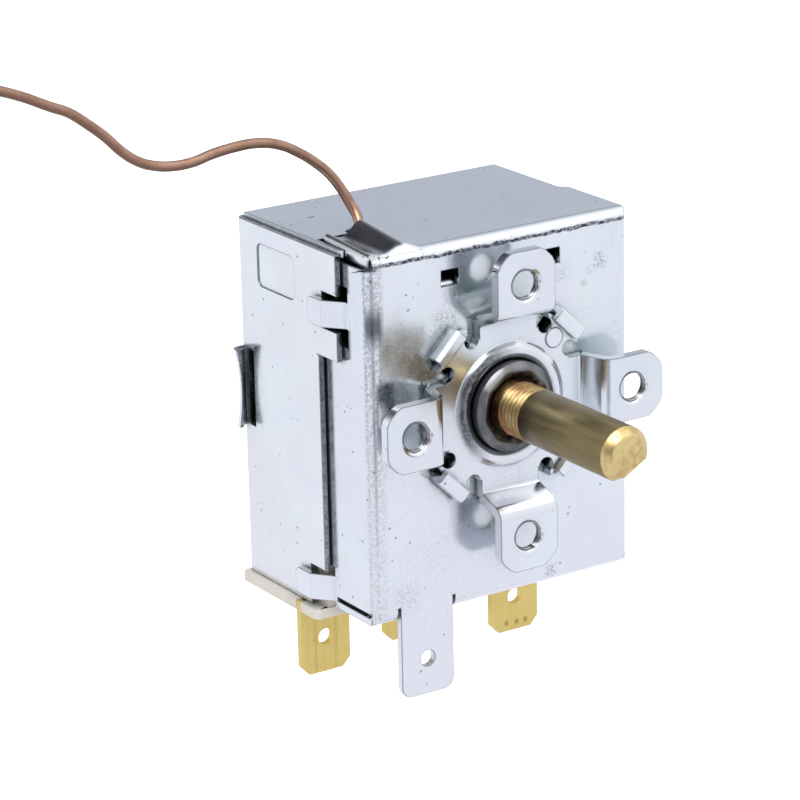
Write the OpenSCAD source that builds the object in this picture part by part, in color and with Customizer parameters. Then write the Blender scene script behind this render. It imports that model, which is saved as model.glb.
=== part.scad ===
// Capillary temperature control for an appliance, in millimetres.
// X runs to the right seen from the front, Y runs back into the housing, Z is up.
// The origin is the centre of the four panel holes, on the front faces of the ears.

/* [Panel mount] */
// Diameter of the circle through the four panel holes
hole_circle = 28; // [27:0.5:29]
// Radius of each panel hole
hole_radius = 1.65; // [1.4:0.05:1.9]
// Half width of an arm and of its ear
arm_half_width = 3.7; // [3.4:0.1:3.9]
// Thickness of the mounting spider
spider_sheet = 1.2; // [1:0.1:1.3]
// Depth from the ears' front faces to the housing's front
stand_off = 4.7; // [4.5:0.1:4.9]

/* [Housing] */
// Thickness of the front frame's sheet
frame_sheet = 0.85; // [0.75:0.05:0.95]
// Half of the front plate's width
frame_half_width = 16.85; // [16.65:0.1:17.05]
// Height of the housing's top above the shaft axis
frame_top = 18.6; // [18.4:0.1:19.2]
// Drop of the front plate's bottom edge below the shaft axis
frame_bottom = 22.2; // [22.1:0.1:22.9]
// Outer radius of the front frame's bends
frame_bend = 1.3; // [1.1:0.1:1.6]
// Thickness of the rear cover's sheet
cover_sheet = 0.65; // [0.5:0.05:0.7]
// Gap between the frame's left flange and the cover over it
cover_gap = 0.2; // [0.15:0.05:0.3]
// Depth of the cover's back face behind the ears
cover_back = 29.6; // [29.4:0.1:30.5]

/* [Shaft] */
// Radius of the control shaft
shaft_radius = 3; // [2.8:0.1:3.2]
// Reach of the shaft's tip in front of the ears
shaft_reach = 17.8; // [14:0.1:24]
// Distance across the shaft at its flat
flat_across = 4.6; // [4.2:0.1:5]
// Length of the flat
flat_length = 11; // [6:0.5:12]
// Direction that the flat faces, in degrees from X towards Z
flat_angle = -61; // [-90:1:0]

/* [Terminals] */
// Width of a terminal blade
tab_width = 6.3; // [5.8:0.1:6.5]
// Thickness of a terminal blade
tab_sheet = 0.8; // [0.7:0.05:0.85]
// Drop of the blade tips below the shaft axis
tab_drop = 31.6; // [30:0.5:33]
// Drop of the earth tab's end below the shaft axis
earth_drop = 31.2; // [30:0.1:33]

/* [Capillary and bulb] */
// Outer diameter of the capillary
capillary_diameter = 1.1; // [1:0.05:1.2]
// Diameter of the sensing bulb
bulb_diameter = 6; // [5:0.5:8]
// Length of the sensing bulb
bulb_length = 80; // [70:1:90]
// Mean radius of the spare capillary's coil
coil_radius = 9; // [8.8:0.1:9.2]

/* [Mechanism] */
// Radius of the diaphragm capsule
capsule_radius = 10.5; // [9.5:0.1:10.8]
// Rise of the rocker lever's pivot above the switch's lid
pivot_rise = 8.9; // [8.6:0.1:9.1]
// Diameter of the contact faces
contact_diameter = 3; // [2.6:0.1:3.2]

/* [Hidden] */
$fn = 48;
fit = 0.05;
// planes of the front: base of the spider, front plate and its back
front_y = stand_off;
plate_back = front_y + frame_sheet;
base_y = front_y - spider_sheet;
hub_hole = 5.05;
hub_radius = hub_hole - fit * 2;
// inner faces of the frame and the cover
top_under = frame_top - frame_sheet;
cover_in_left = -frame_half_width - cover_gap;
cover_left = -cover_in_left + cover_sheet;
cover_right = frame_half_width - frame_sheet;
cover_in_right = cover_right - cover_sheet;
cover_in_back = cover_back - cover_sheet;
// moulded base: lip under the housing, chamber above it
lip_top = -frame_bottom - 0.5;
lip_bottom = lip_top - 1.15;
lip_left = -cover_left - 0.8;
lip_right = frame_half_width - 1.2;
lip_front = 14;
lip_back = cover_back;
chamber_left = cover_in_left + 0.25;
chamber_right = cover_in_right - 0.25;
chamber_front = lip_front + 0.2;
chamber_back = cover_in_back - 0.25;
chamber_wall = 1;
cover_upper_y = 9.5;
cover_lower_y = 13.2;
ear_back = cover_back - 0.5;
ear_lip = ear_back - 1.2;
ear_low = -5.2;
ear_high = 3.5;
// shallow pressed panel on the cover's left wall
panel_front = 17.7;
panel_back = 25.2;
panel_low = 11.3;
panel_high = 16.1;
floor_top = lip_top + 2.6;
lid_under = floor_top + 6.2;
lid_top = lid_under + 1;
// left flange of the frame and its two tabs
flange_deep = 14.1;
flange_short = 11;
flange_right = 15.7;
flange_step = 6.5;
upper_tab_y = 9.1;
upper_tab_z = 11.6;
lower_tab_y = 12.8;
lower_tab_z = -20.1;
tab_half = 1.5;
upper_notch_y = upper_tab_y + 3.2;
notch_low = upper_tab_z - tab_half - 0.4;
notch_high = upper_tab_z + tab_half + 0.6;
lower_notch_y = lower_tab_y + 3.3;
lower_notch_z = lower_tab_z + tab_half + 0.6;
// windows lanced in the front plate, and the earth tab
window_x = 6.5;
window_low = 14.1;
window_high = 15.8;
earth_left = -13.6;
earth_right = -6.9;
tab_hole = 0.9;
// switch: contacts one above the other at the right, pivot at the left
contact_y = 23.4;
blade_sheet = 0.3;
blade_top = lid_under - 2.7;
blade_under = blade_top - blade_sheet;
blade_half = 1.7;
rivet_x = -14.05;
left_foot_top = blade_under - 0.3;
right_foot_top = floor_top + fit + tab_sheet;
middle_foot_under = lid_under - tab_sheet;
button_half = 0.55;
left_tab_x = -15.3;
left_tab_y = 17.8;
middle_tab_x = -2.45;
middle_tab_y = 20.8;
right_tab_x = 8.35;
right_tab_y = 15.4;
contact_x = right_tab_x;
strip_left = -15.6;
strip_right = -12.5;
// mechanism between the shaft and the switch
bush_back = 7.6;
shaft_end = 9.9;
plain_start = -2.3;
round_end = -shaft_reach + flat_length;
knob_play = 0.02;
ridge_depth = 0.3;
ridge_step = 0.62;
disc_front = 8.3;
stop_circle = 7.2;
stop_radius = 0.8;
ball_radius = 1.5;
ball_y = 11.7;
boss_front = 11.2;
capsule_front = 13;
capsule_back = 15.4;
button_front = capsule_back + 0.3;
button_back = 17.3;
pivot_y = 18.6;
pivot_z = lid_top + pivot_rise;
pivot_radius = 1;
arm_front = 19.9;
arm_sheet = 1.2;
arm_under = pivot_z - 4.6;
pusher_top = arm_under - 0.35;
pusher_radius = 1.2;
pusher_head = 1.9;
pusher_head_under = pusher_top - 0.95;
cheek_in = 5;
cheek_out = 6;
boss_radius = 1.9;
bracket_front = 15.6;
bracket_back = 20.8;
rivet_half = 3;
rivet_y = 17.2;
// clamp pressed up from the front left of the top sheet
ridge_x = -11.6;
ridge_rise = 1.5;
clamp_left = -16;
clamp_right = -9;
clamp_front = 5.2;
clamp_back = 13.9;
clamp_columns = 20;
clamp_rows = 18;
// capillary route from the capsule, under the clamp and out to its coil
route = [
    [-8.3, 14.4, 8.6], [-9.4, 13.2, 11], [-10.4, 11.6, 13.6], [-11.2, 10.8, 15.9],
    [-11.6, 11.4, 17.4], [-11.6, 12.8, 18.2], [-11.5, 14, 18.8], [-11.2, 14.8, 19.5],
    [-11.1, 15.4, 20.2], [-11.4, 16.1, 21.3], [-12, 16.6, 22.7], [-13.3, 16.9, 24.6],
    [-14.8, 17, 26], [-16.9, 17, 27.5], [-19.4, 17, 28.8], [-22.1, 17, 29.4],
    [-24.7, 17, 29.4], [-27.4, 17, 29.1], [-29.9, 17, 28.6], [-32.5, 17, 28.6],
    [-34.5, 17, 29], [-36.2, 17, 29.7], [-38, 17, 31], [-39.9, 17, 32.9],
    [-41.7, 17, 34.4], [-43.9, 17, 36], [-45.9, 17, 36.9], [-49, 17, 38.4],
    [-52.2, 17, 39.6], [-55.5, 16.8, 40.5], [-58.8, 16.3, 41.1], [-62, 15.8, 41.5],
    [-66, 15.4, 41.7], [-70, 15.35, 41.65]
];
coil_x = -70;
coil_y = 17;
coil_z = 31;
coil_half = 2 * capillary_diameter;
tail_x = coil_x - coil_radius - 1.5 * capillary_diameter;
tail_y = coil_y + 1.5 * capillary_diameter;
tail_top = coil_z;
bulb_top = 15;

function tops(i) = clamp_left + (clamp_right - clamp_left) * i / clamp_columns;
function ease(t) = t < 0 ? 0 : (t > 1 ? 1 : t * t * (3 - 2 * t));
function bump(x) = let (w = x < ridge_x ? 2.5 : 2.7, t = abs(x - ridge_x) / w)
    t > 1 ? 0 : (1 + cos(180 * t)) / 2;
function lip(x) = x > -13.9 ? 0 : 0.85 * pow((-13.9 - x) / 2.1, 2);
function growth(y) = ease((y - 5) / 1.1) * (0.45 + 0.55 * (y - 6) / 8);
// height of the plain top and of its front bend at a depth
function plain_top(y) = let (t = max(0, front_y + frame_bend - y))
    frame_top - frame_bend + sqrt(frame_bend * frame_bend - t * t);
function clamp_rise(x, y) = growth(y) * (ridge_rise * bump(x) + lip(x));
function clamp_slope(x, y) = (clamp_rise(x + 0.05, y) - clamp_rise(x - 0.05, y)) / 0.1;
function unit(v) = v / norm(v);
function point_at(path, k) = path[max(0, min(len(path) - 1, k))];
// a point between two points of a path, on a smooth curve through them all
function between(path, k, t) = let (
        a = point_at(path, k - 1), b = point_at(path, k),
        c = point_at(path, k + 1), d = point_at(path, k + 2))
    0.5 * (2 * b + (c - a) * t + (2 * a - 5 * b + 4 * c - d) * t * t
        + (3 * b - a - 3 * c + d) * t * t * t);
function smooth(path, steps) = concat(
    [for (k = [0 : len(path) - 2]) for (s = [0 : steps - 1]) between(path, k, s / steps)],
    [path[len(path) - 1]]);
function ring_at(path, k, r, sides, side_way) = let (
        ahead = unit(point_at(path, k + 1) - point_at(path, k - 1)),
        a = unit(cross(ahead, side_way)), b = cross(ahead, a))
    [for (j = [0 : sides - 1]) path[k] + r * (a * cos(360 * j / sides) + b * sin(360 * j / sides))];

// a solid rod of the given radius along a path
module sweep(path, r, sides, side_way) {
    n = len(path);
    pts = [for (k = [0 : n - 1]) each ring_at(path, k, r, sides, side_way)];
    walls = [for (k = [0 : n - 2]) for (j = [0 : sides - 1]) let (
        m = (j + 1) % sides, a = k * sides + j, b = k * sides + m)
        each [[a, a + sides, b + sides], [a, b + sides, b]]];
    first = [for (j = [0 : sides - 1]) j];
    last = [for (j = [sides - 1 : -1 : 0]) (n - 1) * sides + j];
    polyhedron(points = pts, faces = concat([first], walls, [last]), convexity = 8);
}

// flat outlines drawn as X and Z, as Y and Z, or as X and Y, and given a thickness
module along_y(y0, y1) {
    translate([0, y1, 0]) rotate([90, 0, 0]) linear_extrude(height = y1 - y0) children();
}
module along_x(x0, x1) {
    translate([x0, 0, 0]) rotate([90, 0, 90]) linear_extrude(height = x1 - x0) children();
}
module along_z(z0, z1) {
    translate([0, 0, z0]) linear_extrude(height = z1 - z0) children();
}
// a body turned about the shaft axis from points of radius and depth
module turned(points) {
    rotate([90, 0, 0]) rotate_extrude() polygon([for (p = points) [p[0], -p[1]]]);
}
// a round rod along Y, along X or along Z
module rod_y(x, z, y0, y1, r) {
    translate([x, y1, z]) rotate([90, 0, 0]) cylinder(h = y1 - y0, r = r);
}
module rod_x(y, z, x0, x1, r) {
    translate([x0, y, z]) rotate([0, 90, 0]) cylinder(h = x1 - x0, r = r);
}
module rod_z(x, y, z0, z1, r) {
    translate([x, y, z0]) cylinder(h = z1 - z0, r = r);
}
module box(x0, x1, y0, y1, z0, z1) {
    translate([x0, y0, z0]) cube([x1 - x0, y1 - y0, z1 - z0]);
}
module rounded(x0, x1, y0, y1, r) {
    translate([x0 + r, y0]) square([x1 - x0 - 2 * r, y1 - y0]);
    translate([x0, y0 + r]) square([x1 - x0, y1 - y0 - 2 * r]);
    for (x = [x0 + r, x1 - r]) for (y = [y0 + r, y1 - r]) translate([x, y]) circle(r = r);
}
module quarter_ring(outer, thick) {
    intersection() {
        difference() {
            circle(r = outer);
            circle(r = outer - thick);
        }
        square(outer);
    }
}

// front plate and side flanges of the frame, seen from above
module frame_section() {
    w = frame_half_width;
    c = front_y + frame_bend;
    translate([-w + frame_bend, front_y]) square([2 * w - 2 * frame_bend, frame_sheet]);
    translate([-w + frame_bend, c]) rotate(180) quarter_ring(frame_bend, frame_sheet);
    translate([w - frame_bend, c]) rotate(270) quarter_ring(frame_bend, frame_sheet);
    translate([-w, c]) square([frame_sheet, flange_deep - c]);
    translate([w - frame_sheet, c]) square([frame_sheet, flange_right - c]);
}
// outline that rounds the frame's front corners, seen from above
module frame_outline(left) {
    w = frame_half_width;
    c = front_y + frame_bend;
    translate([left, c]) square([w - left, 30]);
    translate([left < -w + 0.01 ? left + frame_bend : left, front_y])
        square([w - frame_bend - (left < -w + 0.01 ? left + frame_bend : left), frame_bend]);
    translate([w - frame_bend, c]) circle(r = frame_bend);
    if (left < -w + 0.01) translate([left + frame_bend, c]) circle(r = frame_bend);
}
// bend between the front plate and the top sheet, seen from the side
module top_bend_section() {
    c = front_y + frame_bend;
    translate([c, frame_top - frame_bend]) rotate(90) quarter_ring(frame_bend, frame_sheet);
    translate([c, top_under]) square([1.2, frame_sheet]);
}
module bottom_bend_section() {
    c = front_y + frame_bend;
    translate([c, -frame_bottom + frame_bend]) rotate(180) quarter_ring(frame_bend, frame_sheet);
    translate([c, -frame_bottom]) square([lip_front - 0.2 - c, frame_sheet]);
}
module top_sheet_outline() {
    polygon([
        [frame_half_width, front_y + frame_bend], [frame_half_width, flange_right],
        [cover_right, flange_right + 0.9], [cover_right, cover_in_back - fit],
        [cover_in_left + fit, cover_in_back - fit], [cover_in_left + fit, 9.9],
        [cover_in_left + 0.4, cover_upper_y], [clamp_left, cover_upper_y],
        [clamp_left, front_y + frame_bend]
    ]);
}
// the curved sheet of the clamp, from its free left edge over the ridge to the flat top
module clamp() {
    n = clamp_rows + 1;
    m = (clamp_columns + 1) * n;
    grid = [for (i = [0 : clamp_columns]) for (j = [0 : clamp_rows])
        [tops(i), clamp_front + (clamp_back - clamp_front) * j / clamp_rows]];
    above = [for (p = grid) [p[0], p[1], plain_top(p[1]) + clamp_rise(p[0], p[1])]];
    below = [for (p = grid) [p[0], p[1], plain_top(p[1]) + clamp_rise(p[0], p[1])
        - frame_sheet * sqrt(1 + pow(clamp_slope(p[0], p[1]), 2))]];
    cells = [for (i = [0 : clamp_columns - 1]) for (j = [0 : clamp_rows - 1]) i * n + j];
    sheet = [for (a = cells) each [[a, a + 1, a + n + 1], [a, a + n + 1, a + n],
        [m + a, m + a + n + 1, m + a + 1], [m + a, m + a + n, m + a + n + 1]]];
    sides = [for (j = [0 : clamp_rows - 1]) let (a = j, b = clamp_columns * n + j)
        each [[a + 1, a, m + a], [a + 1, m + a, m + a + 1],
        [b, b + 1, m + b + 1], [b, m + b + 1, m + b]]];
    ends = [for (i = [0 : clamp_columns - 1]) let (a = i * n, b = i * n + clamp_rows)
        each [[a, a + n, m + a + n], [a, m + a + n, m + a],
        [b + n, b, m + b], [b + n, m + b, m + b + n]]];
    polyhedron(points = concat(above, below), faces = concat(sheet, sides, ends), convexity = 6);
}
// a tab that leaves the left flange at a slant, passes the cover's notch and lies on the cover
module side_tab(root_y, lie, low, high) {
    w = frame_half_width;
    out = -cover_left - frame_sheet;
    slant = 2.2;
    along_z(low, high) polygon([
        [-w, root_y - 0.6], [-w, root_y], [out, root_y + slant], [out, root_y + slant + lie - 0.8],
        [-cover_left, root_y + slant + lie - 0.8], [-cover_left, root_y + slant + 0.3],
        [-w + frame_sheet, root_y + 0.3], [-w + frame_sheet, root_y - 0.6]
    ]);
    along_x(out, -cover_left)
        rounded(root_y + slant, root_y + slant + lie, low, high, 0.8);
}
// a lug of the front plate folded over the tip of one lobe of the spider
module lobe_lug() {
    along_z(-2, 2) polygon([
        [10.7, plate_back], [10.7, base_y - fit], [10, base_y - fit], [10, base_y - 0.5],
        [10.3, base_y - 0.8], [11.3, base_y - 0.8], [11.6, base_y - 0.5], [11.6, plate_back]
    ]);
}
module at_lobes() {
    for (a = [45, 135, 225, 315]) rotate([0, a, 0]) children();
}
module earth_tab() {
    along_y(front_y, plate_back) union() {
        rounded(earth_left, earth_right, -earth_drop, -earth_drop + 4, 1.3);
        translate([earth_left, -earth_drop + 2])
            square([earth_right - earth_left, earth_drop - 2 - 20]);
    }
}
module front_frame() {
    w = frame_half_width;
    color("lightsteelblue") difference() {
        union() {
            along_z(-frame_bottom + frame_bend, frame_top - frame_bend) frame_section();
            intersection() {
                along_x(clamp_left, w) top_bend_section();
                along_z(frame_top - 3, frame_top + 1) frame_outline(clamp_left);
            }
            intersection() {
                along_x(-w, w) bottom_bend_section();
                along_z(-frame_bottom - 1, -frame_bottom + 3) frame_outline(-w);
            }
            along_z(top_under, frame_top) top_sheet_outline();
            earth_tab();
            side_tab(upper_tab_y, 2.6, upper_tab_z - tab_half, upper_tab_z + tab_half);
            side_tab(lower_tab_y, 3, lower_tab_z - tab_half, lower_tab_z + tab_half);
            for (x = [-window_x, window_x])
                box(x - 1, x + 1, front_y + 0.3, plate_back + 1.4, window_low - 0.8, window_low);
        }
        // the left flange is shorter above the step, with reliefs beside the roots of its tabs
        box(-w - 0.1, -w + 1, flange_short, flange_deep + 1, flange_step, frame_top - frame_bend + 0.1);
        box(-w - 0.1, -w + 1, upper_tab_y - 0.5, flange_deep + 1, upper_tab_z + tab_half, upper_tab_z + 3.1);
        box(-w - 0.1, -w + 1, upper_tab_y - 0.5, flange_deep + 1, upper_tab_z - 3.5, upper_tab_z - tab_half);
        box(-w - 0.1, -w + 1, lower_tab_y - 0.2, flange_deep + 1, lower_tab_z + tab_half, lower_notch_z + 0.4);
        box(-w - 0.1, -w + 1, lower_tab_y - 0.2, flange_deep + 1, -frame_bottom - 1, lower_tab_z - tab_half);
        // lanced windows, the spindle's hole and the slots that the lugs left
        for (x = [-window_x, window_x])
            box(x - 1.1, x + 1.1, front_y - 1, plate_back + 0.01, window_low, window_high);
        rod_y(0, 0, front_y - 1, plate_back + 1, hub_hole);
        rod_y(0, stop_circle, front_y - 1, plate_back + 1, stop_radius);
        at_lobes() box(8.2, 10.8, front_y - 1, plate_back + 1, -2.1, 2.1);
        // opening that the clamp was pressed up from, with a notch for the capillary
        box(clamp_left - 0.5, clamp_right - 0.1, front_y + frame_bend + 0.15, clamp_back + 0.7,
            top_under - 1, frame_top + 3);
        rod_z(ridge_x, clamp_back + 1, top_under - 1, frame_top + 1, 1);
        // hole in the earth tab, and reliefs beside its root
        rod_y((earth_left + earth_right) / 2, -earth_drop + 4.1, front_y - 1, plate_back + 1, tab_hole);
        for (x = [earth_left - 0.3, earth_right])
            box(x, x + 0.3, front_y - 1, plate_back + 1.5, -frame_bottom - 1, -frame_bottom + 1.6);
        box(earth_left - 0.1, earth_right + 0.1, plate_back, plate_back + 1.5, -frame_bottom - 1, -frame_bottom + 1.4);
    }
    color("lightsteelblue") intersection() {
        clamp();
        box(-20, -8, 0, 20, 10, 30);
    }
    color("lightsteelblue") at_lobes() lobe_lug();
}

// arm of the spider seen from the side: flat base, step forward, ear
function arm_line() = let (near = 0.5, far = spider_sheet + 0.4, a = 72, x0 = 9.05)
    let (run = (base_y - (near + far) * (1 - cos(a))) / tan(a), x1 = x0 + (near + far) * sin(a) + run)
    concat(
        [[4, base_y, 0], [x0, base_y, 0]],
        [for (t = [12 : 12 : a]) [x0 + near * sin(t), base_y - near * (1 - cos(t)), t]],
        [for (t = [a : -12 : 0]) [x1 - far * sin(t), far * (1 - cos(t)), t]],
        [[hole_circle / 2 + 3.8, 0, 0]]);
module arm_section() {
    line = arm_line();
    polygon(concat(
        [for (p = line) [p[0], p[1]]],
        [for (k = [len(line) - 1 : -1 : 0])
            [line[k][0] + spider_sheet * sin(line[k][2]), line[k][1] + spider_sheet * cos(line[k][2])]]));
}
module ear_outline() {
    e = hole_circle / 2 + 3.8;
    h = arm_half_width;
    polygon([[3, -h], [e - 1.9, -h], [e - 1.2, -h + 0.35], [e - 0.35, -h + 1.2], [e, -h + 1.9],
        [e, h - 1.9], [e - 0.35, h - 1.2], [e - 1.2, h - 0.35], [e - 1.9, h], [3, h]]);
}
module arm() {
    intersection() {
        along_z(-arm_half_width, arm_half_width) arm_section();
        along_y(-1, 6) ear_outline();
    }
}
module mounting_spider() {
    c = hole_circle / 2;
    color("silver") difference() {
        union() {
            rod_y(0, 0, base_y, front_y, 10.6);
            for (a = [0, 90, 180, 270]) rotate([0, a, 0]) arm();
            translate([0, 0, 0]) turned([[hub_hole, base_y - 0.1], [5.3, base_y - 0.35],
                [5.65, base_y - 0.6], [6, base_y - 0.7], [6.35, base_y - 0.6], [6.7, base_y - 0.3],
                [6.95, base_y], [7.2, base_y + 0.6], [hub_hole, base_y + 0.6]]);
            rod_y(5.9, 6.3, base_y - 0.12, base_y + 0.2, 1.1);
        }
        rod_y(0, 0, base_y - 2, front_y + 1, hub_hole);
        // narrow slots beside each arm, with round ends
        for (a = [0, 90, 180, 270]) rotate([0, a, 0]) for (z = [-4.75, 4.75]) {
            rod_y(7.9, z, base_y - 1, front_y + 1, 0.85);
            box(7.9, 12, base_y - 1, front_y + 1,
                z > 0 ? arm_half_width : z - 0.45, z > 0 ? z + 0.45 : -arm_half_width);
        }
        // panel holes with their chamfered rims, and the hollow behind the raised ring
        for (p = [[c, 0], [-c, 0], [0, c], [0, -c]]) {
            rod_y(p[0], p[1], -1, spider_sheet + 1, hole_radius);
            translate([p[0], 0.35, p[1]]) rotate([90, 0, 0])
                cylinder(h = 0.7, r1 = hole_radius - 0.05, r2 = hole_radius + 1.15);
        }
        turned([[5.5, front_y + 0.5], [5.5, front_y - 0.3], [6, front_y - 0.6],
            [6.5, front_y - 0.3], [6.7, front_y + 0.5]]);
    }
}

// rear cover seen from above
module cover_section() {
    r = 1.1;
    translate([-cover_left, 5.5]) square([cover_sheet, cover_back - r - 5.5]);
    translate([cover_in_right, 5.9]) square([cover_sheet, cover_back - r - 5.9]);
    translate([-cover_left + r, cover_in_back]) square([cover_left + cover_right - 2 * r, cover_sheet]);
    translate([-cover_left + r, cover_back - r]) rotate(90) quarter_ring(r, cover_sheet);
    translate([cover_right - r, cover_back - r]) quarter_ring(r, cover_sheet);
}
module rear_cover() {
    x0 = -cover_left - 2;
    x1 = cover_in_left + 0.1;
    color("lightsteelblue") difference() {
        union() {
            along_z(lip_top + fit, frame_top - 0.5) cover_section();
            along_x(cover_in_left - 0.1, cover_in_left + 0.15)
                rounded(panel_front - 0.1, panel_back + 0.1, panel_low - 0.1, panel_high + 0.1, 0.9);
            // ear pressed out at the rear of the left wall like half a louvre, open to the front
            along_z(ear_low, ear_high) polygon(concat(
                [[-cover_left + 0.3, ear_back - 0.2]],
                [for (a = [0 : 15 : 90]) [-cover_left - sin(a), ear_lip + cos(a)]],
                [for (a = [90 : -15 : 0]) [-cover_left - 0.45 * sin(a), ear_lip + 0.45 * cos(a)]],
                [[-cover_left + 0.3, ear_lip + 0.45]]));
            along_y(ear_lip, ear_lip + 0.5) polygon([[-cover_left - 0.8, ear_high - 2],
                [-cover_left - 1, ear_high - 2], [-cover_left - 1.4, ear_high], [-cover_left - 0.8, ear_high]]);
        }
        // front edge of the left wall, with the notches for the frame's two tabs
        along_x(x0, x1) polygon([[0, 30], [cover_upper_y, 30], [cover_upper_y, notch_high],
            [upper_notch_y, notch_high], [upper_notch_y, notch_low], [cover_upper_y, notch_low],
            [cover_upper_y, flange_step], [cover_lower_y, flange_step], [cover_lower_y, lower_notch_z],
            [lower_notch_y, lower_notch_z], [lower_notch_y, -30], [0, -30]]);
        // the right wall stops under the top sheet and behind the front bend
        box(cover_in_right - 1, cover_right + 1, 0, cover_back + 1, top_under - fit, frame_top + 1);
        box(cover_in_right - 1, cover_right + 1, 0, 7.5, -30, 30);
        box(cover_in_right - 1, cover_right + 1, 0, lip_front, -30, -frame_bottom + frame_sheet + fit);
        along_x(-cover_left - 0.2, -cover_left + 0.15)
            rounded(panel_front, panel_back, panel_low, panel_high, 0.8);
        box(x0 + 1, x1 + 1, ear_lip - 1.2, ear_lip, ear_low, ear_high);
    }
}

// moulded base: lip plate under the housing, switch chamber above it
module terminal_base() {
    c = fit;
    t = tab_sheet / 2 + c;
    w = tab_width / 2 + c;
    color("ivory") difference() {
        union() {
            along_z(lip_bottom, lip_top) rounded(lip_left, lip_right, lip_front, lip_back, 0.7);
            box(chamber_left, chamber_right, chamber_front, chamber_back, lip_top - 0.2, lid_under);
        }
        box(chamber_left + chamber_wall, chamber_right - chamber_wall,
            chamber_front + chamber_wall, chamber_back - chamber_wall, floor_top, lid_under + 1);
        box(left_tab_x - w, left_tab_x + w, left_tab_y - t, left_tab_y + t, lip_bottom - 1, lip_top);
        box(strip_left - c, strip_right + c, left_tab_y - t, left_tab_y + t, lip_top - 1, floor_top + 1);
        box(middle_tab_x - w, middle_tab_x + w, middle_tab_y - t, middle_tab_y + t,
            lip_bottom - 1, floor_top + 1);
        box(right_tab_x - w, right_tab_x + w, right_tab_y - t, right_tab_y + t + 1,
            floor_top - 0.01, right_foot_top + 0.3);
        box(right_tab_x - w, right_tab_x + w, right_tab_y - t, right_tab_y + t,
            lip_bottom - 1, floor_top + 1);
    }
}
module chamber_lid() {
    color("ivory") difference() {
        box(chamber_left, chamber_right, chamber_front, chamber_back, lid_under, lid_top);
        rod_z(0, contact_y, lid_under - 1, lid_top + 1, pusher_radius + fit);
        for (x = [-rivet_half, rivet_half]) rod_z(x, rivet_y, lid_under - 1, lid_top + 1, 0.9);
    }
}
// terminal blade with chamfered tip and its hole, seen from the front
module tab_outline(x, top) {
    h = tab_width / 2;
    difference() {
        polygon([[x - h, top], [x - h, -tab_drop + 1.1], [x - h + 1, -tab_drop],
            [x + h - 1, -tab_drop], [x + h, -tab_drop + 1.1], [x + h, top]]);
        translate([x, -tab_drop + 4.1]) circle(r = tab_hole);
    }
}
module terminal_left() {
    y0 = left_tab_y - tab_sheet / 2;
    y1 = left_tab_y + tab_sheet / 2;
    color("gold") difference() {
        union() {
            along_y(y0, y1) tab_outline(left_tab_x, lip_top - 0.05);
            box(strip_left, strip_right, y0, y1, lip_top - 0.2, left_foot_top);
            box(strip_left, strip_right, y0, 25.2, left_foot_top - tab_sheet, left_foot_top);
        }
        rod_z(rivet_x, contact_y, left_foot_top - 2, left_foot_top + 1, 0.8);
        for (x = [-1.3, 1.3]) box(left_tab_x + x - 0.1, left_tab_x + x + 0.1, y0 - 1, y0 + 0.05,
            -tab_drop - 1, lip_bottom);
    }
}
module terminal_middle() {
    y0 = middle_tab_y - tab_sheet / 2;
    x0 = middle_tab_x - tab_width / 2;
    top = middle_foot_under + tab_sheet;
    color("gold") difference() {
        union() {
            along_y(y0, y0 + tab_sheet) tab_outline(middle_tab_x, top);
            along_z(middle_foot_under, top) polygon([[x0, y0], [contact_x + 2.4, y0],
                [contact_x + 2.4, 25.2], [contact_x - 2.4, 25.2], [contact_x - 2.4, 21.9], [x0, 21.9]]);
        }
        rod_z(contact_x, contact_y, middle_foot_under - 1, top + 1, 0.8);
    }
}
module terminal_right() {
    y0 = right_tab_y - tab_sheet / 2;
    color("gold") difference() {
        union() {
            along_y(y0, y0 + tab_sheet) tab_outline(right_tab_x, right_foot_top);
            box(right_tab_x - 2.4, right_tab_x + 2.4, y0, 25.2, right_foot_top - tab_sheet, right_foot_top);
        }
        rod_z(contact_x, contact_y, right_foot_top - 2, right_foot_top + 1, 0.8);
    }
}

module spindle_bush() {
    b = shaft_radius + fit;
    color("dimgray") turned([[b, 1.5], [3.4, 1.5], [4.25, 1.95], [4.45, 2.15], [4.5, 2.7], [hub_radius, 3.1],
        [hub_radius, plate_back + fit], [6, plate_back + fit], [6, plate_back + 1], [4.2, plate_back + 1],
        [4.2, bush_back], [b, bush_back]]);
}
module stop_pin() {
    color("silver") union() {
        rod_y(0, stop_circle, front_y, 9.4, stop_radius);
        rod_y(0, stop_circle, plate_back, plate_back + 0.6, stop_radius + 0.4);
    }
}
// shaft with a few screw ridges next to the bush, a bevelled end and a flat
module control_shaft() {
    r = shaft_radius;
    ridges = [for (k = [0 : 4]) each [[r - ridge_depth, 1.1 - ridge_step * k],
        [r, 1.1 - ridge_step * (k + 0.5)]]];
    color("goldenrod") rotate([0, -flat_angle, 0]) difference() {
        turned(concat([[0, shaft_end], [r - 0.4, shaft_end], [r, shaft_end - 0.4], [r, 1.4]],
            ridges, [[r - ridge_depth, 1.1 - ridge_step * 5], [r, plain_start], [r, round_end],
            [r - knob_play, round_end], [r - knob_play, -shaft_reach + 0.9], [r - 0.8, -shaft_reach],
            [0, -shaft_reach]]));
        box(flat_across - r, r + 1, -shaft_reach - 1, round_end, -r - 1, r + 1);
    }
}
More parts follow.
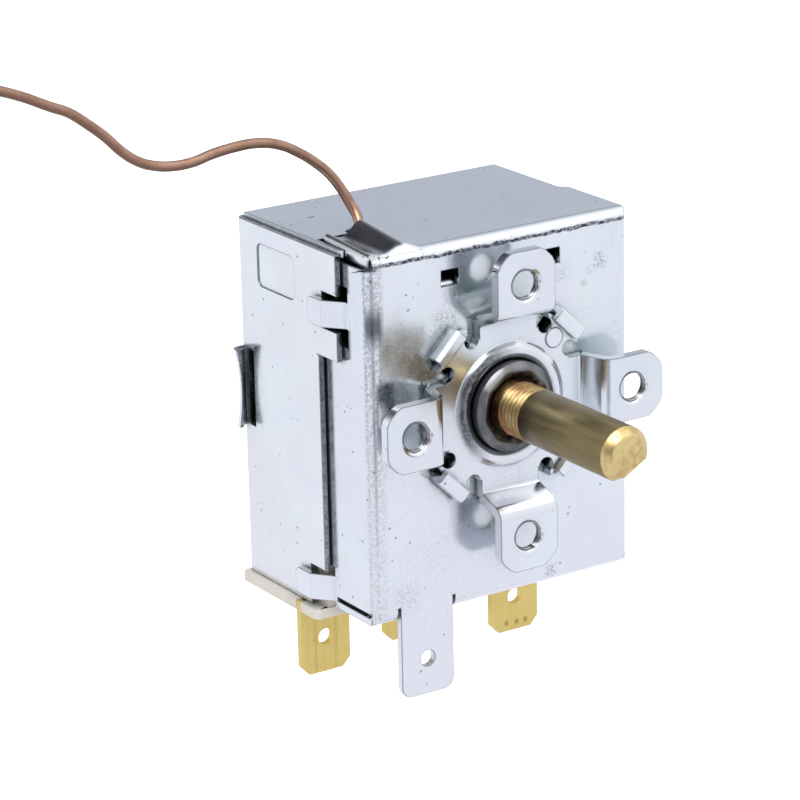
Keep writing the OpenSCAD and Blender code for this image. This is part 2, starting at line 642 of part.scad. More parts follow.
// disc on the shaft whose wide lug meets the stop pin at both ends of the turn
module stop_disc() {
    color("silver") difference() {
        union() {
            rod_y(0, 0, disc_front, disc_front + 1, 4.6);
            intersection() {
                rod_y(0, 0, disc_front, disc_front + 1, stop_circle + stop_radius);
                along_y(disc_front, disc_front + 1) rotate(45)
                    polygon([[0, 0], [14 * cos(36), -14 * sin(36)], [14, 0], [14 * cos(36), 14 * sin(36)]]);
            }
        }
        rod_y(0, 0, disc_front - 1, disc_front + 2, shaft_radius);
    }
}
module thrust_ball() {
    color("silver") translate([0, ball_y, 0]) sphere(r = ball_radius);
}
// two waved discs joined at the rim, with a cup for the ball and the capillary's socket
module diaphragm_capsule() {
    r = capsule_radius;
    color("silver") difference() {
        union() {
            turned([[0, boss_front], [3.4, boss_front], [3.4, capsule_front], [r - 5.6, capsule_front],
                [r - 4.8, capsule_front + 0.4], [r - 4, capsule_front], [r - 3.2, capsule_front + 0.4],
                [r - 2.4, capsule_front], [r - 1.4, capsule_front + 0.9], [r, capsule_front + 0.9],
                [r, capsule_front + 1.5], [r - 1.4, capsule_front + 1.5], [r - 2.4, capsule_back],
                [r - 3.2, capsule_back - 0.4], [r - 4, capsule_back], [r - 4.8, capsule_back - 0.4],
                [r - 5.6, capsule_back], [0, capsule_back]]);
            rotate([0, 45, 0]) rod_x(capsule_front + 1.2, 0, -r - 0.7, -r + 2, 0.9);
        }
        rod_y(0, 0, boss_front - 1, ball_y, ball_radius + fit);
        translate([0, ball_y, 0]) sphere(r = ball_radius + fit);
    }
}
module capsule_button() {
    color("gainsboro") turned([[0, button_front], [2.2, button_front], [2.2, button_back - 0.5],
        [1.7, button_back], [0, button_back]]);
}
// bracket on the chamber's lid whose two cheeks hold the lever's pivot
module lever_bracket() {
    color("silver") difference() {
        union() {
            box(-cheek_out, cheek_out, bracket_front, bracket_back, lid_top, lid_top + 1);
            for (x = [-cheek_out, cheek_in]) along_x(x, x + 1) union() {
                translate([pivot_y - boss_radius, lid_top]) square([2 * boss_radius, pivot_z - lid_top]);
                translate([pivot_y, pivot_z]) circle(r = boss_radius);
            }
        }
        rod_x(pivot_y, pivot_z, -cheek_out - 1, cheek_out + 1, pivot_radius);
        for (x = [-rivet_half, rivet_half]) rod_z(x, rivet_y, lid_top - 1, lid_top + 2, 0.9);
    }
}
module bracket_rivets() {
    color("silver") for (x = [-rivet_half, rivet_half]) {
        rod_z(x, rivet_y, lid_under - 0.4, lid_top + 1.5, 0.9);
        rod_z(x, rivet_y, lid_top + 1, lid_top + 1.6, 1.5);
        rod_z(x, rivet_y, lid_under - 0.5, lid_under, 1.5);
    }
}
module lever_pin() {
    color("silver") union() {
        rod_x(pivot_y, pivot_z, -cheek_out - 0.6, cheek_out + 0.1, pivot_radius);
        rod_x(pivot_y, pivot_z, cheek_out, cheek_out + 0.7, pivot_radius + 0.6);
    }
}
// bent lever: upright arm behind the capsule, lower arm over the push pin
module rocker_lever() {
    color("lightgray") difference() {
        union() {
            box(-3, 3, arm_front, arm_front + arm_sheet, arm_under, 3.6);
            box(-2.2, 2.2, arm_front, 25.4, arm_under, arm_under + arm_sheet);
            for (x = [-4, 3]) along_x(x, x + 1) union() {
                translate([pivot_y, pivot_z]) circle(r = boss_radius);
                translate([pivot_y, pivot_z - boss_radius])
                    square([arm_front + arm_sheet - pivot_y, 2 * boss_radius]);
            }
        }
        rod_x(pivot_y, pivot_z, -6, 6, pivot_radius + fit);
        rod_y(0, 0, arm_front - 1, arm_front + arm_sheet + 1, 1.5);
    }
}
module calibration_screw() {
    color("silver") difference() {
        turned([[0, 18], [1, 18], [1.5, 18.5], [1.5, 22.8], [2.3, 22.8], [2.3, 24], [0, 24]]);
        box(-3, 3, 23.5, 24.5, -0.3, 0.3);
    }
}
// coil spring under the push pin's head, standing on the chamber's lid
module return_spring() {
    turns = 4;
    low = lid_top + 0.2;
    high = pusher_head_under - 0.2;
    path = [for (k = [0 : 18 * turns]) let (a = 20 * k)
        [1.6 * cos(a), contact_y + 1.6 * sin(a), low + (high - low) * k / (18 * turns)]];
    color("silver") sweep(path, 0.2, 6, [0, 0, 1]);
}
module push_pin() {
    color("saddlebrown") union() {
        rod_z(0, contact_y, blade_top + 0.3, pusher_top - 0.2, pusher_radius);
        rod_z(0, contact_y, pusher_head_under, pusher_top, pusher_head);
    }
}
module snap_blade() {
    y0 = contact_y - blade_half;
    y1 = contact_y + blade_half;
    color("peru") difference() {
        along_z(blade_under, blade_top) union() {
            rounded(strip_left + 0.1, contact_x + 2, y0, y1, 0.5);
        }
        rod_z(rivet_x, contact_y, blade_under - 1, blade_top + 1, 1);
        rod_z(contact_x, contact_y, blade_under - 1, blade_top + 1, 0.8);
        for (y = [contact_y - 0.9, contact_y + 0.7])
            box(-11, -3, y, y + 0.2, blade_under - 1, blade_top + 1);
    }
}
module blade_rivet() {
    color("peru") union() {
        rod_z(rivet_x, contact_y, left_foot_top - tab_sheet - 0.2, blade_top + 0.4, 0.8);
        rod_z(rivet_x, contact_y, blade_top + 0.3, blade_top + 0.9, 1.4);
        rod_z(rivet_x, contact_y, left_foot_top - tab_sheet - 0.5, left_foot_top - tab_sheet, 1.3);
    }
}
module moving_contact() {
    r = contact_diameter / 2;
    color("whitesmoke") union() {
        rod_z(contact_x, contact_y, blade_under - 0.1, blade_top + 0.1, 0.8);
        rod_z(contact_x, contact_y, blade_top, blade_top + button_half, r);
        rod_z(contact_x, contact_y, blade_under - button_half, blade_under, r);
    }
}
module upper_contact() {
    r = contact_diameter / 2;
    color("whitesmoke") union() {
        rod_z(contact_x, contact_y, middle_foot_under - 0.1, middle_foot_under + tab_sheet, 0.8);
        rod_z(contact_x, contact_y, blade_top + button_half + 0.3, middle_foot_under, r);
    }
}
module lower_contact() {
    r = contact_diameter / 2;
    color("whitesmoke") union() {
        rod_z(contact_x, contact_y, right_foot_top - tab_sheet, right_foot_top + 0.1, 0.8);
        rod_z(contact_x, contact_y, right_foot_top, right_foot_top + 0.8, r);
    }
}

module capillary_tube() {
    color("sandybrown") sweep(smooth(route, 2), capillary_diameter / 2, 8, [0.6, 0.3, 0.74]);
}
// closed ring of the outer shape of sixteen turns, four wide and four deep
module capillary_coil() {
    c = coil_half;
    color("sandybrown") translate([coil_x, coil_y, coil_z]) rotate([90, 0, 0])
        rotate_extrude() translate([coil_radius, 0]) rounded(-c, c, -c, c, capillary_diameter / 2);
}
module coil_tie() {
    c = coil_half;
    t = 0.4;
    color("white") translate([0, coil_y, coil_z - coil_radius])
        along_x(coil_x - 1.2, coil_x + 1.2) difference() {
            rounded(-c - t, c + t, -c - t, c + t, 0.9);
            rounded(-c, c, -c, c, 0.5);
        }
}
module capillary_tail() {
    color("sandybrown") rod_z(tail_x, tail_y, bulb_top, tail_top, capillary_diameter / 2);
}
module sensing_bulb() {
    r = bulb_diameter / 2;
    n = capillary_diameter / 2;
    color("sandybrown") translate([tail_x, tail_y, 0]) rotate_extrude() polygon([
        [0, bulb_top], [n + 0.5, bulb_top], [n + 0.5, bulb_top - 3], [r - 0.5, bulb_top - 5],
        [r, bulb_top - 6], [r, bulb_top - bulb_length + 1], [r - 0.7, bulb_top - bulb_length],
        [0, bulb_top - bulb_length]]);
}

front_frame();
mounting_spider();
rear_cover();
terminal_base();
chamber_lid();
terminal_left();
terminal_middle();
terminal_right();
spindle_bush();
stop_pin();
control_shaft();
stop_disc();
thrust_ball();
diaphragm_capsule();
capsule_button();
lever_bracket();
bracket_rivets();
lever_pin();
rocker_lever();
calibration_screw();
return_spring();
push_pin();
snap_blade();
blade_rivet();
moving_contact();
upper_contact();
lower_contact();
capillary_tube();
capillary_coil();
coil_tie();
capillary_tail();
sensing_bulb();
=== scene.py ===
"""Looks for the capillary temperature control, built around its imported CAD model."""

import math

import bmesh
import bpy
from mathutils import Matrix, Vector


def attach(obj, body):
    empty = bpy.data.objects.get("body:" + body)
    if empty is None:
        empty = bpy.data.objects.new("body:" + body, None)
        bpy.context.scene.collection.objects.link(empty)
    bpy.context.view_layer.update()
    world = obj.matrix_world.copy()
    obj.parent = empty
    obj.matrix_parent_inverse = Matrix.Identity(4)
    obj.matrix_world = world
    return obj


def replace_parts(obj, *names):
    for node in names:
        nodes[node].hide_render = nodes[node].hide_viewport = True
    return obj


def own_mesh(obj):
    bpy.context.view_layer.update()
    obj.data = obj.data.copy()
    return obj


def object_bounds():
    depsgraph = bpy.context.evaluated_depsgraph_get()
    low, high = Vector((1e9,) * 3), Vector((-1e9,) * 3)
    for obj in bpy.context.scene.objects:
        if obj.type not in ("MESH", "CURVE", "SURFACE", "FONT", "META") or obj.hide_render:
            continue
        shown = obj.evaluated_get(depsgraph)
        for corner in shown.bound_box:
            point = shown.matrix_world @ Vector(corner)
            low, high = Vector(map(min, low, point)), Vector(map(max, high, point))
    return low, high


MM = 0.001

# camera, fitted to the photograph of 800 by 800 pixels
CAMERA_AZIMUTH = -32.985
CAMERA_ELEVATION = 18.334
CAMERA_ROLL = -1.338
CAMERA_DISTANCE = 379.951
CAMERA_LENS = 161.631
TARGET_RIGHT = -13.579
TARGET_UP = 1.295

# capillary route in millimetres, from the capsule to the top of the coil
ROUTE = [
    (-8.3, 14.4, 8.6), (-9.4, 13.2, 11), (-10.4, 11.6, 13.6), (-11.2, 10.8, 15.9),
    (-11.6, 11.4, 17.4), (-11.6, 12.8, 18.2), (-11.5, 14, 18.8), (-11.2, 14.8, 19.5),
    (-11.1, 15.4, 20.2), (-11.4, 16.1, 21.3), (-12, 16.6, 22.7), (-13.3, 16.9, 24.6),
    (-14.8, 17, 26), (-16.9, 17, 27.5), (-19.4, 17, 28.8), (-22.1, 17, 29.4),
    (-24.7, 17, 29.4), (-27.4, 17, 29.1), (-29.9, 17, 28.6), (-32.5, 17, 28.6),
    (-34.5, 17, 29), (-36.2, 17, 29.7), (-38, 17, 31), (-39.9, 17, 32.9),
    (-41.7, 17, 34.4), (-43.9, 17, 36), (-45.9, 17, 36.9), (-49, 17, 38.4),
    (-52.2, 17, 39.6), (-55.5, 16.8, 40.5), (-58.8, 16.3, 41.1), (-62, 15.8, 41.5),
    (-66, 15.4, 41.7),
]
CAPILLARY = 1.1
CAPILLARY_EXIT = (-11.6, 12.8, 18.2)
COIL_CENTRE = (-70, 17, 31)
COIL_RADIUS = 9
COIL_STEPS = 16
# heights of the straight tail from the coil down into the bulb
TAIL_HEIGHTS = (27, 23, 19, 14)

# front frame: face of its plate, and its two windows
PLATE_FRONT = 4.7
WINDOW_X = 6.5
WINDOW_LOW = 14.1

# marks of the front frame and painted shade on its clamp: for each axis the centre, half width and soft
# edge
TOP_BEND_FOOT = {"Y": (4.9, 0.3, 0.2)}
TOP_BEND_FOOT_HEIGHT = (17.66, 0.13, 0.12)
TOP_BEND_FOOT_WANDER = 0.22
TOP_RIM = {"Y": (6.05, 0.05, 0.08), "Z": (18.6, 0.1, 0.1)}
BEND_STRAIN = {"X": (-16.15, 0.6, 0.9), "Y": (5, 0.5, 0.5)}
BEND_DARK_PATCH = {"X": (-16.1, 0.5, 0.9), "Z": (11.2, 0.3, 2.6), "Y": (4.9, 0.3, 0.6)}
CLAMP_SHADE = {"X": (-14.2, 2.3, 0.7), "Y": (10.2, 4.1, 0.5)}
TOP_NICK = {"X": (-12.4, 0.3, 0.25), "Y": (22.5, 0.12, 0.2)}
PLATE_FACE = (PLATE_FRONT, 0.3, 0.4)
STAIN = ((-10.3, 6.4), 1.3, 4)

# stretches over which those marks and the clamp's painted shade grow: up the bend, above the top sheet and
# away from the hem
STRAIN_GROWS = (-14, 12)
CLAMP_STARTS = (18.3, 18.7)
NICK_STARTS = (18.4, 18.6)
HEM_FADE = (-14.6, -13.6)

# tones of the marks, of worn zinc and of painted shade
BEND_PATCH_TONE = (0.09, 0.09, 0.12)
TOP_BEND_LINE_TONE = (0.05, 0.055, 0.075)
CLAMP_SHADE_TONE = (0.07, 0.075, 0.09)
RING_SHADE_TONE = (0.07, 0.075, 0.085)
STAIN_TONE = (0.36, 0.38, 0.38)
CORNER_SHADE_TONE = (0.36, 0.44, 0.44)
CUT_STEEL = (0.2, 0.21, 0.22)
DIRT_AND_SHADE_TONE = (0.2, 0.21, 0.23)

# dark blotches on the plate: place (x, z), half width, soft edge and strength
BLOTCHES = [
    ((12.9, 13.4), 0.35, 1.0, 0.75), ((11.4, 12.5), 0.15, 0.6, 0.5), ((10.7, 11.1), 0.15, 0.5, 0.5),
    ((-7.3, 10), 0.5, 1.7, 0.6), ((6, -20.8), 0.3, 0.9, 0.7), ((-6, 13), 0.7, 1.5, 0.35),
    ((-13, -19.5), 0.5, 2.2, 0.3), ((8, 13), 0.4, 1.2, 0.35), ((-9, -15), 1, 4, 0.12),
    ((11, 6.5), 0.8, 3, 0.12), ((-13.2, 8.4), 0.5, 2.2, 0.5), ((-14.2, 3), 0.5, 3, 0.25),
]

# scratches of the sheet: how fine each kind is along X, Y and Z, and its turn
SCRATCHES = [
    ((140, 140, 5200), (24, 17, 0)), ((5200, 5200, 150), (16, -11, 0)), ((150, 5200, 150), (0, 0, 38)),
    ((5200, 150, 150), (0, 0, 17)),
]

# shadow round the spider's raised ring: radius, half width and soft edge, and where it fades
RING_SHADE = (5.95, 0.55, 0.5)
RING_FADE = (-5.5, -0.5)
RING_LEAN = -0.35

# shaft, as in the CAD: radius, ends, where the round stretch ends, and the flat
SHAFT_RADIUS = 3.0
SHAFT_FRONT = -17.8
SHAFT_BACK = 9.9
SHAFT_ROUND_END = -6.8
FLAT_AT = 1.6
FLAT_TURN = math.radians(61)
FLAT_NORMAL = (math.cos(FLAT_TURN), -math.sin(FLAT_TURN))
# along the shaft: where its bright end stops and where the brown of its screw begins
BRIGHT_END = (-16.95, -16.75)
BROWN_START = (-2.5, -2.2)

# four panel holes of the ears: places (x, z)
PANEL_HOLES = ((14, 0), (-14, 0), (0, 14), (0, -14))

# floor and room in metres: glow, dark spot that the bends mirror, and mirrored tones
FLOOR_GLOW = 0.72
FLOOR_DARK_SPOT = (-0.13, -0.2, 0)
FLOOR_DARK_REACH = (0.03, 0.1)
FLOOR_MIRRORED = (0.88, 0.91, 0.97)
ROOM = (0.93, 0.95, 0.98)
# soft shapes of the room that the bright metal mirrors: direction, inner and outer angle, tone
PATCHES = [
    ((0.52, 0.8, 0.31), 16, 34, (0.5, 0.54, 0.6)),
    ((-0.04, 0.76, 0.65), 18, 27, (0.05, 0.06, 0.08)),
    ((-0.72, -0.66, 0.18), 14, 34, (0.3, 0.31, 0.33)),
    ((0.33, -0.33, 0.88), 16, 38, (1.35, 1.35, 1.33)),
]

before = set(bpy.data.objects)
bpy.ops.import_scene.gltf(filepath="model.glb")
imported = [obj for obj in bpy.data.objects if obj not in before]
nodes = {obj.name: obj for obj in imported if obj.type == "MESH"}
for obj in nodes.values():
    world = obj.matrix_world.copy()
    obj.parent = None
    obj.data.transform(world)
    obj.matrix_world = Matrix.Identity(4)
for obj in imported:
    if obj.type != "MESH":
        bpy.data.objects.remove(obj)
cad_low, cad_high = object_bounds()
scene = bpy.context.scene


def link(obj):
    scene.collection.objects.link(obj)
    return obj


def millimetres(point):
    return Vector(point) * MM


def view_axes():
    """Right, up and back directions of the camera."""
    a = math.radians(CAMERA_AZIMUTH)
    e = math.radians(CAMERA_ELEVATION)
    back = Vector((math.sin(a) * math.cos(e), -math.cos(a) * math.cos(e), math.sin(e)))
    right = Vector((0, 0, 1)).cross(back).normalized()
    up = back.cross(right)
    r = math.radians(CAMERA_ROLL)
    return right * math.cos(r) + up * math.sin(r), up * math.cos(r) - right * math.sin(r), back


def make_camera():
    """Camera at the photograph's place and angle."""
    right, up, back = view_axes()
    data = bpy.data.cameras.new("camera")
    data.lens = CAMERA_LENS
    data.sensor_width = 36
    data.clip_start = 0.02
    data.clip_end = 20
    camera = link(bpy.data.objects.new("camera", data))
    stand = (right * TARGET_RIGHT + up * TARGET_UP + back * CAMERA_DISTANCE) * MM
    turn = Matrix((right, up, back)).transposed().to_4x4()
    camera.matrix_world = Matrix.Translation(stand) @ turn
    scene.camera = camera


def coil_points():
    """Sixteen turns, four deep and four wide, wound row by row from the top to the left side.

    Each turn crosses to the next in its last quarter.
    """
    across = (1.5, 0.5, -0.5, -1.5)
    cells = []
    for row, v in enumerate(reversed(across)):
        order = across if row % 2 == 0 else tuple(reversed(across))
        cells += [(u, v) for u in order]
    cells.append(cells[-1])
    centre = Vector(COIL_CENTRE)
    points = []
    total = len(cells) * COIL_STEPS - COIL_STEPS + COIL_STEPS // 4
    for k in range(total + 1):
        turn, step = divmod(k, COIL_STEPS)
        here, after = cells[turn], cells[min(turn + 1, len(cells) - 1)]
        t = max(0.0, (step / COIL_STEPS - 0.75) * 4)
        t = t * t * (3 - 2 * t)
        u = (here[0] + (after[0] - here[0]) * t) * CAPILLARY
        v = (here[1] + (after[1] - here[1]) * t) * CAPILLARY
        angle = math.radians(90) + 2 * math.pi * k / COIL_STEPS
        r = COIL_RADIUS + u
        points.append(centre + Vector((r * math.cos(angle), v, r * math.sin(angle))))
    return points


def make_capillary(material):
    """Capillary along its route, then round the coil and down into the bulb."""
    coil = coil_points()
    end = coil[-1]
    tail = [Vector((end.x, end.y, z)) for z in TAIL_HEIGHTS]
    points = [Vector(p) for p in ROUTE] + coil + tail
    data = bpy.data.curves.new("capillary", "CURVE")
    data.dimensions = "3D"
    data.resolution_u = 4
    data.bevel_depth = CAPILLARY / 2 * MM
    data.bevel_resolution = 4
    data.use_fill_caps = True
    spline = data.splines.new("BEZIER")
    spline.bezier_points.add(len(points) - 1)
    for target, p in zip(spline.bezier_points, points):
        target.co = p * MM
        target.handle_left_type = "AUTO"
        target.handle_right_type = "AUTO"
    obj = link(bpy.data.objects.new("capillary", data))
    data.materials.append(material)
    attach(obj, "housing")
    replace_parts(obj, "capillary_tube", "capillary_coil", "capillary_tail")
    millimetres(CAPILLARY_EXIT)


# node helpers
def new_material(name):
    """Material with one Principled shader: the material, its tree and the shader."""
    m = bpy.data.materials.new(name)
    m.use_nodes = True
    tree = m.node_tree
    tree.nodes.clear()
    out = tree.nodes.new("ShaderNodeOutputMaterial")
    shader = tree.nodes.new("ShaderNodeBsdfPrincipled")
    tree.links.new(shader.outputs[0], out.inputs[0])
    return m, tree, shader


def put(tree, value, socket):
    """Link an output to a socket, or set a plain value on it."""
    if isinstance(value, bpy.types.NodeSocket):
        tree.links.new(value, socket)
    elif isinstance(value, tuple) and len(value) == 3 and socket.type == "RGBA":
        socket.default_value = (*value, 1)
    else:
        socket.default_value = value


def place(tree):
    """Where a point is in the object, in metres."""
    return tree.nodes.new("ShaderNodeTexCoord").outputs["Object"]


def stretched(tree, vector, scale, turn=(0, 0, 0)):
    """Turn a vector and then scale it, which draws a noise out along the smallest scale."""
    for field, value in (("Rotation", [math.radians(t) for t in turn]), ("Scale", scale)):
        n = tree.nodes.new("ShaderNodeMapping")
        n.inputs[field].default_value = value
        put(tree, vector, n.inputs["Vector"])
        vector = n.outputs[0]
    return vector


def noise(tree, vector, per_metre, detail=2.0, rough=0.5, twist=0.0):
    """Cloudy noise with so many features a metre."""
    n = tree.nodes.new("ShaderNodeTexNoise")
    put(tree, vector, n.inputs["Vector"])
    n.inputs["Scale"].default_value = per_metre
    n.inputs["Detail"].default_value = detail
    n.inputs["Roughness"].default_value = rough
    n.inputs["Distortion"].default_value = twist
    return n.outputs[0]


def dots(tree, vector, per_metre):
    """Distance to the nearest of scattered points, so many a metre."""
    n = tree.nodes.new("ShaderNodeTexVoronoi")
    put(tree, vector, n.inputs["Vector"])
    n.inputs["Scale"].default_value = per_metre
    return n.outputs["Distance"]


def remap(tree, value, low, high, to_low=0.0, to_high=1.0):
    """Smooth step from to_low to to_high as the value goes from low to high."""
    n = tree.nodes.new("ShaderNodeMapRange")
    n.interpolation_type = "SMOOTHSTEP"
    put(tree, value, n.inputs["Value"])
    n.inputs["From Min"].default_value = low
    n.inputs["From Max"].default_value = high
    n.inputs["To Min"].default_value = to_low
    n.inputs["To Max"].default_value = to_high
    return n.outputs[0]


def maths(tree, kind, a, b=0.0):
    n = tree.nodes.new("ShaderNodeMath")
    n.operation = kind
    put(tree, a, n.inputs[0])
    put(tree, b, n.inputs[1])
    return n.outputs[0]


def times(tree, *values):
    """Product of several values."""
    total = values[0]
    for value in values[1:]:
        total = maths(tree, "MULTIPLY", total, value)
    return total


def mixed(tree, factor, a, b):
    n = tree.nodes.new("ShaderNodeMix")
    n.data_type = "RGBA"
    put(tree, factor, n.inputs[0])
    put(tree, a, n.inputs[6])
    put(tree, b, n.inputs[7])
    return n.outputs[2]


def bump(tree, height, depth, strength=1.0, under=None):
    """Bump of a height field, depth in metres, over another bump where given."""
    n = tree.nodes.new("ShaderNodeBump")
    n.inputs["Distance"].default_value = depth
    n.inputs["Strength"].default_value = strength
    put(tree, height, n.inputs["Height"])
    if under is not None:
        put(tree, under, n.inputs["Normal"])
    return n.outputs[0]


def split(tree, vector):
    """The three axes of a vector, by letter."""
    n = tree.nodes.new("ShaderNodeSeparateXYZ")
    put(tree, vector, n.inputs[0])
    return dict(zip("XYZ", n.outputs))


def facing(tree):
    """The three axes of the surface's own direction, in the object's frame."""
    return split(tree, tree.nodes.new("ShaderNodeTexCoord").outputs["Normal"])


def shaded(colour, factors):
    """A colour times one factor, or times one for each channel."""
    if not isinstance(factors, tuple):
        factors = (factors, factors, factors)
    return tuple(c * f for c, f in zip(colour, factors))


def near(tree, value, centre, half, soft):
    """One within half of the centre, falling to zero over the soft distance, all in millimetres."""
    away = maths(tree, "ABSOLUTE", maths(tree, "SUBTRACT", value, centre * MM))
    return remap(tree, away, half * MM, (half + soft) * MM, 1.0, 0.0)


def above(tree, value, low, high, to_low=0.0, to_high=1.0):
    """Goes from to_low to to_high as the value goes from low to high millimetres."""
    return remap(tree, value, low * MM, high * MM, to_low, to_high)


def region(tree, axes, spans):
    """One inside a box with soft sides, given as a span for each of its axes."""
    return times(tree, *[near(tree, axes[letter], *span) for letter, span in spans.items()])


def corners(tree, reach, low, high):
    """One deep in corners and grooves, zero on open faces; it marks where shade is painted."""
    n = tree.nodes.new("ShaderNodeAmbientOcclusion")
    n.samples = 6
    n.inputs["Distance"].default_value = reach
    return remap(tree, n.outputs["AO"], low, high, 1.0, 0.0)


def blotch(tree, axes, centre, half, soft):
    """One round a point of the front plate, falling off over the soft distance."""
    spans = {"X": (centre[0], half, soft), "Z": (centre[1], half, soft), "Y": PLATE_FACE}
    return region(tree, axes, spans)


# materials
def zinc_wear_and_shade(tree, where, grain, cloud, marks):
    """Specks, pits and scratches of a plated sheet, and painted shade in its crevices: their sum, and the
    scratches alone.
    """
    patch = remap(tree, noise(tree, where, 95, 2, 0.5, 0.4), 0.42, 0.66)
    specks = times(tree, remap(tree, grain, 0.6, 0.72), patch)
    pits = times(tree, remap(tree, dots(tree, where, 700), 0.06, 0.14, 1.0, 0.0),
                 remap(tree, noise(tree, where, 260), 0.5, 0.59))
    scratch = 0.0
    for scale, turn in SCRATCHES:
        lines = noise(tree, stretched(tree, where, scale, turn), 1, 3, 0.5)
        scratch = maths(tree, "MAXIMUM", remap(tree, lines, 0.67, 0.75), scratch)
    scratch = times(tree, scratch, remap(tree, cloud, 0.46, 0.62))
    # painted shade in the sheet's crevices and round its slots, made patchy by noise
    crevice_shade = times(tree, corners(tree, 0.7 * MM, 0.45, 0.98),
                  remap(tree, noise(tree, where, 900, 3, 0.7), 0.36, 0.6, 0.4, 1.0))
    dirt_and_shade = times(tree, specks, 0.24 * marks)
    for mark, strength in ((pits, 0.6), (scratch, 0.16), (crevice_shade, 0.7)):
        dirt_and_shade = maths(tree, "ADD", dirt_and_shade, times(tree, mark, strength * marks))
    return dirt_and_shade, scratch


def zinc_tint_and_corner_shade(tree, where, cloud, colour):
    """Plating colour that drifts to grey, green and violet, painted darker and greener in wide corners as
    the shade and reflection of nearby parts.
    """
    tint = mixed(tree, remap(tree, cloud, 0.35, 0.65), colour, shaded(colour, (0.955, 0.965, 0.985)))
    green = remap(tree, noise(tree, where, 210, 2, 0.5, 0.8), 0.55, 0.72, 0, 0.5)
    tint = mixed(tree, green, tint, shaded(colour, (0.93, 0.96, 0.93)))
    violet = remap(tree, noise(tree, where, 70, 3, 0.6, 0.6), 0.4, 0.62)
    tint = mixed(tree, violet, tint, shaded(colour, (0.985, 0.945, 0.965)))
    # painted green-grey shade and reflection in wide corners, such as round the ears
    return mixed(tree, times(tree, corners(tree, 5 * MM, 0.25, 0.95), 0.65), tint, CORNER_SHADE_TONE)


def raw_edges(tree, rash, tint):
    """Grey cut steel where the sheet's edge faces the front or the top."""
    way = facing(tree)
    raw = maths(tree, "MAXIMUM", remap(tree, way["Y"], -0.85, -0.6, 1.0, 0.0),
                remap(tree, way["Z"], 0.6, 0.85))
    raw = times(tree, raw, remap(tree, rash, 0, 1, 0.55, 0.95))
    return mixed(tree, raw, tint, CUT_STEEL)


def ring_shade(tree, axes, rash, tint):
    """Painted shade on the left half of the raised ring round the hub."""
    x, z = axes["X"], axes["Z"]
    out = maths(tree, "SQRT", maths(tree, "ADD", times(tree, x, x), times(tree, z, z)))
    leftward = maths(tree, "ADD", x, times(tree, z, RING_LEAN))
    shade = times(tree, near(tree, out, *RING_SHADE), above(tree, leftward, *RING_FADE, 1.0, 0.0),
                  remap(tree, rash, 0, 1, 0.8, 0.95))
    # painted shade on the ring's left side
    return mixed(tree, shade, tint, RING_SHADE_TONE)


def clamp_shade(tree, axes):
    """One on the clamp, whose slope is painted dark as shade and reflection, weaker towards its hem."""
    return times(tree, region(tree, axes, CLAMP_SHADE), above(tree, axes["Z"], *CLAMP_STARTS),
                 above(tree, axes["X"], *HEM_FADE, 0.35, 0.93))


def plate_marks_and_shade(tree, where, axes, rash, tint, dirt_and_shade):
    """Marks that forming and handling left on the front frame, besides a dark patch on its left bend, a
    dark line at the foot of its top bend, and painted shade and reflection on the clamp's slope.
    """
    # dark patch on the left bend
    tint = mixed(tree, times(tree, region(tree, axes, BEND_DARK_PATCH), 0.9), tint, BEND_PATCH_TONE)
    strain = times(tree, region(tree, axes, BEND_STRAIN), above(tree, axes["Z"], *STRAIN_GROWS, 0.3, 0.7))
    dirt_and_shade = maths(tree, "ADD", dirt_and_shade, times(tree, strain, rash, 0.7))
    # dark, wandering line at the foot of the top bend
    wander = remap(tree, noise(tree, where, 500, 3, 0.7), 0.3, 0.7)
    height = maths(tree, "ADD", axes["Z"], times(tree, wander, TOP_BEND_FOOT_WANDER * MM))
    top_bend_line = times(tree, near(tree, height, *TOP_BEND_FOOT_HEIGHT), region(tree, axes, TOP_BEND_FOOT),
                 remap(tree, rash, 0.2, 0.7, 0.6, 1.0))
    tint = mixed(tree, top_bend_line, tint, TOP_BEND_LINE_TONE)
    dirt_and_shade = maths(tree, "MAXIMUM", dirt_and_shade, times(tree, region(tree, axes, TOP_RIM), 0.6))
    # painted shade and reflection on the clamp's slope
    tint = mixed(tree, clamp_shade(tree, axes), tint, CLAMP_SHADE_TONE)
    coarse = remap(tree, noise(tree, where, 4600, 3, 0.75), 0.48, 0.6)
    for centre, half, soft, strength in BLOTCHES:
        spot = times(tree, blotch(tree, axes, centre, half, soft), coarse, strength)
        dirt_and_shade = maths(tree, "MAXIMUM", dirt_and_shade, spot)
    nick = times(tree, region(tree, axes, TOP_NICK), above(tree, axes["Z"], *NICK_STARTS, 0, 0.8))
    dirt_and_shade = maths(tree, "MAXIMUM", dirt_and_shade, nick)
    stain = times(tree, blotch(tree, axes, *STAIN), remap(tree, noise(tree, where, 380, 3, 0.6), 0.3, 0.62))
    tint = mixed(tree, times(tree, stain, 0.72), tint, STAIN_TONE)
    dirt_and_shade = maths(tree, "ADD", dirt_and_shade, times(tree, stain, rash, 0.35))
    return tint, dirt_and_shade


